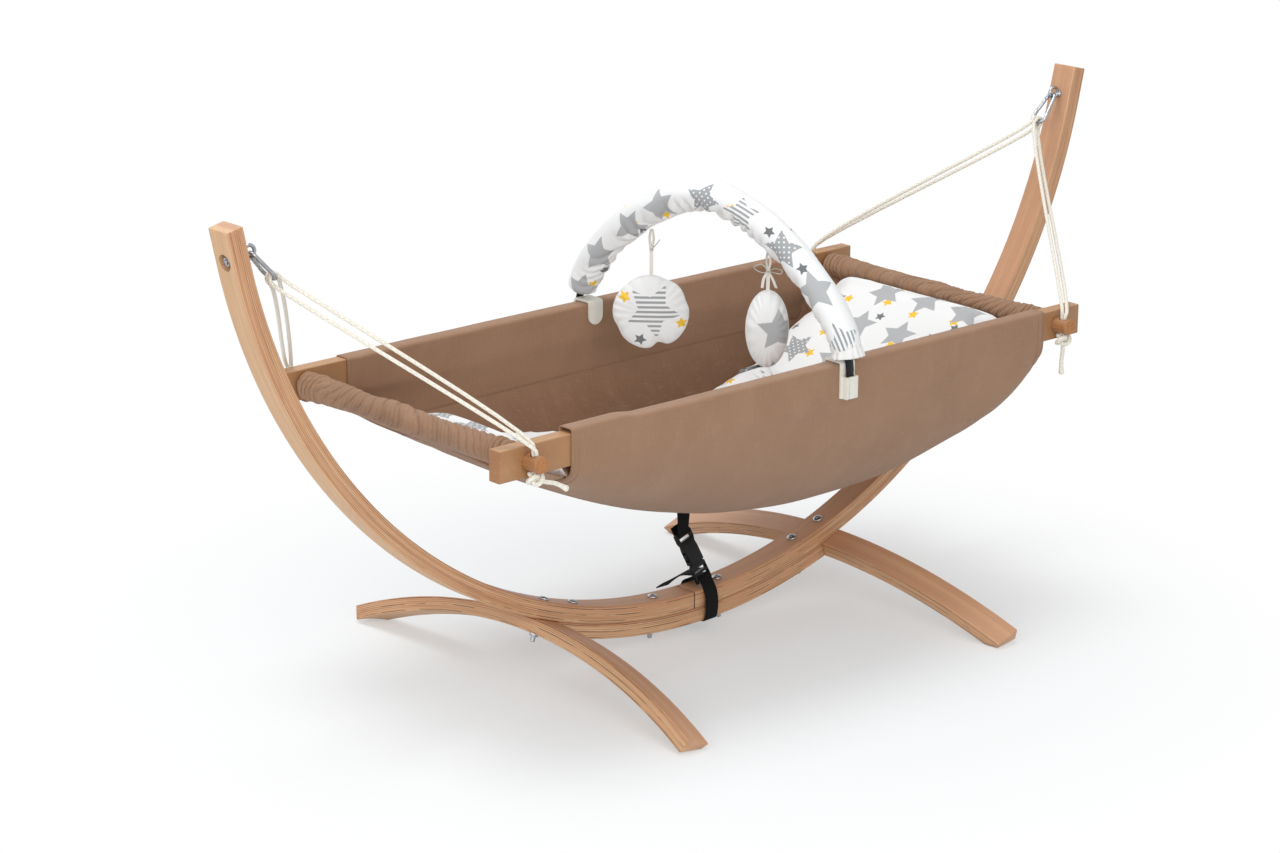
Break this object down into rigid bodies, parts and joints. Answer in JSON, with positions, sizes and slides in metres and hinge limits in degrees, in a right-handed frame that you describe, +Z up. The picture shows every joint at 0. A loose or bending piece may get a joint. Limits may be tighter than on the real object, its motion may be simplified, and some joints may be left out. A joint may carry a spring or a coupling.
{
  "type": "hanging baby cradle",
  "caption": "Fabric sling cradle on wooden rails, hung by cords and snap hooks from a bow-shaped laminated stand, with a padded toy bar.",
  "frame": {"origin": "on the floor under the middle of the bow, at the bottom centre of the whole object", "axes": "+Z up, +X along the bow towards the pillow end, -Y to the front, where the toy bar leans forward"},
  "size_m": [1.396, 0.608, 0.631],
  "materials": {
    "beech": "clear lacquered beech plywood",
    "beech_rail": "smooth stained beech",
    "zinc_steel": "bright zinc",
    "cotton_cord": "braided off-white cotton",
    "sling_fabric": "fine taupe canvas",
    "printed_cotton": "white cotton with a printed star pattern",
    "white_plastic": "satin moulded",
    "black_webbing": "woven webbing",
    "black_plastic": "satin moulded"
  },
  "bodies": {
    "stand": {"bow_left": "beech", "bow_right": "beech", "bow_splice": "beech", "foot_left": "beech", "foot_right": "beech", "foot_bolt_left": "zinc_steel", "foot_nut_left": "zinc_steel", "splice_bolt_left": "zinc_steel", "splice_nut_left": "zinc_steel", "centre_bolt_left": "zinc_steel", "centre_nut_left": "zinc_steel", "eye_bolt_left": "zinc_steel", "eye_washer_left": "zinc_steel", "eye_nut_left": "zinc_steel", "foot_bolt_right": "zinc_steel", "foot_nut_right": "zinc_steel", "splice_bolt_right": "zinc_steel", "splice_nut_right": "zinc_steel", "centre_bolt_right": "zinc_steel", "centre_nut_right": "zinc_steel", "eye_bolt_right": "zinc_steel", "eye_washer_right": "zinc_steel", "eye_nut_right": "zinc_steel", "strap_loop": "black_webbing"},
    "cradle": {"rail_front": "beech_rail", "rail_back": "beech_rail", "dowel_left": "beech", "dowel_right": "beech", "sling": "sling_fabric", "sleeve_left": "sling_fabric", "sleeve_right": "sling_fabric", "mattress": "printed_cotton", "pillow": "printed_cotton", "cord_left_front": "cotton_cord", "cord_left_back": "cotton_cord", "cord_right_front": "cotton_cord", "cord_right_back": "cotton_cord", "snap_hook_left": "zinc_steel", "snap_hook_right": "zinc_steel", "gate_pin_left": "zinc_steel", "gate_pin_right": "zinc_steel"},
    "hook_gate_left": {"hook_gate_left": "zinc_steel"},
    "hook_gate_right": {"hook_gate_right": "zinc_steel"},
    "toy_bar": {"toy_bar_cover": "printed_cotton", "toy_bar_batten": "black_plastic", "toy_bar_clip_front": "white_plastic", "toy_bar_clip_back": "white_plastic"},
    "round_toy": {"round_toy": "printed_cotton", "round_toy_ribbon": "cotton_cord"},
    "oval_toy": {"oval_toy": "printed_cotton", "oval_toy_ribbon": "cotton_cord"},
    "strap": {"buckle_plug": "black_plastic", "buckle_socket": "black_plastic", "strap_upper": "black_webbing", "strap_tail": "black_webbing"},
    "release_arm_left": {"release_arm_left": "black_plastic"},
    "release_arm_right": {"release_arm_right": "black_plastic"}
  },
  "joints": [
    {"name": "cradle_swing", "type": "hinge", "parent": "stand", "child": "cradle", "pos_m": [0, 0, 0.59115], "axis": [1, 0, 0], "range_deg": [-5, 2.5]},
    {"name": "strap_lean", "type": "hinge", "parent": "stand", "child": "strap", "pos_m": [0.02349, -0.008, 0.06841], "axis": [0.9626, 0.0932, 0.2544], "range_deg": [-11, 22]},
    {"name": "toy_bar_slide", "type": "slide", "parent": "cradle", "child": "toy_bar", "axis": [1, 0, 0], "range_m": [-0.3, 0.3]},
    {"name": "round_toy_swing", "type": "hinge", "parent": "toy_bar", "child": "round_toy", "pos_m": [0.0286, 0.0973, 0.4948], "axis": [-0.0931, 0.9957, 0], "range_deg": [-20, 20]},
    {"name": "oval_toy_swing", "type": "hinge", "parent": "toy_bar", "child": "oval_toy", "pos_m": [0.0461, -0.0905, 0.4989], "axis": [-0.0931, 0.9957, 0], "range_deg": [-20, 20]},
    {"name": "gate_left_open", "type": "hinge", "parent": "cradle", "child": "hook_gate_left", "pos_m": [-0.64839, 0.00632, 0.58716], "axis": [-0.7431, 0, -0.6691], "range_deg": [0, 25], "stiffness_Nm_per_rad": 0.02, "springref_deg": -11.46},
    {"name": "gate_right_open", "type": "hinge", "parent": "cradle", "child": "hook_gate_right", "pos_m": [0.64839, 0.00632, 0.58716], "axis": [-0.7431, 0, 0.6691], "range_deg": [0, 25], "stiffness_Nm_per_rad": 0.02, "springref_deg": -11.46},
    {"name": "release_arm_left_squeeze", "type": "hinge", "parent": "strap", "child": "release_arm_left", "pos_m": [0.01236, -0.00101, 0.08751], "axis": [0, 0.939, -0.3438], "range_deg": [0, 14], "stiffness_Nm_per_rad": 0.05, "springref_deg": -5.73},
    {"name": "release_arm_right_squeeze", "type": "hinge", "parent": "strap", "child": "release_arm_right", "pos_m": [0.02237, -0.00004, 0.09016], "axis": [0, -0.939, 0.3438], "range_deg": [0, 14], "stiffness_Nm_per_rad": 0.05, "springref_deg": -5.73}
  ],
  "couplings": [
    {"joint": "strap_lean", "follows": "cradle_swing", "ratio": -4.37},
    {"joint": "release_arm_right_squeeze", "follows": "release_arm_left_squeeze", "ratio": 1}
  ]
}
